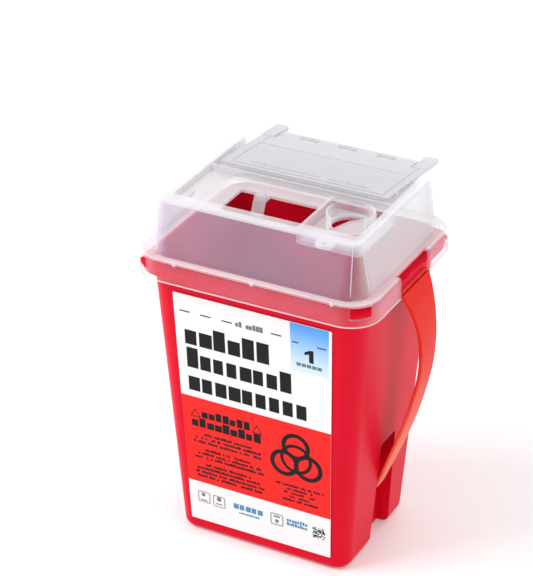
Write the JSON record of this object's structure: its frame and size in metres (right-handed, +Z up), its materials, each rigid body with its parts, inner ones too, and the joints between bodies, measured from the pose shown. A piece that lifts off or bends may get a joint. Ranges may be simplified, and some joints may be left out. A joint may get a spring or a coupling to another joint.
{
  "type": "sharps container",
  "caption": "Drafted rectangular tub with a clear press-on domed lid, drop-in mouth, needle well, fold-over flap and a fold-down side strap.",
  "frame": {"origin": "middle of the flat face that the container stands on", "axes": "+Z up, +X to the right of the label face towards the strap, -Y out of the label face, +Y towards the side where the open flap lies"},
  "size_m": [0.1154, 0.1039, 0.1608],
  "materials": {
    "red_plastic": "glossy moulded polypropylene, saturated red",
    "strap_plastic": "thin flexible moulded polypropylene, red with a lighter edge",
    "clear_plastic": "translucent natural polypropylene, faintly frosted",
    "label_film": "satin self-adhesive film, printed"
  },
  "bodies": {
    "container": {"tub": "red_plastic", "lid": "clear_plastic", "needle_well": "clear_plastic", "mouth_finger": "clear_plastic", "front_label": "label_film", "flap_hinge_web": "clear_plastic", "strap_hinge_web": "strap_plastic"},
    "flap": {"flap": "clear_plastic"},
    "strap": {"strap": "strap_plastic"}
  },
  "joints": [
    {"name": "flap_hinge", "type": "hinge", "parent": "container", "child": "flap", "pos_m": [0, 0.0055, 0.1603], "axis": [1, 0, 0], "range_deg": [0, 183.5]},
    {"name": "strap_fold", "type": "hinge", "parent": "container", "child": "strap", "pos_m": [0.05351, 0.001, 0.1298], "axis": [0, -1, 0], "range_deg": [0, 110]}
  ]
}
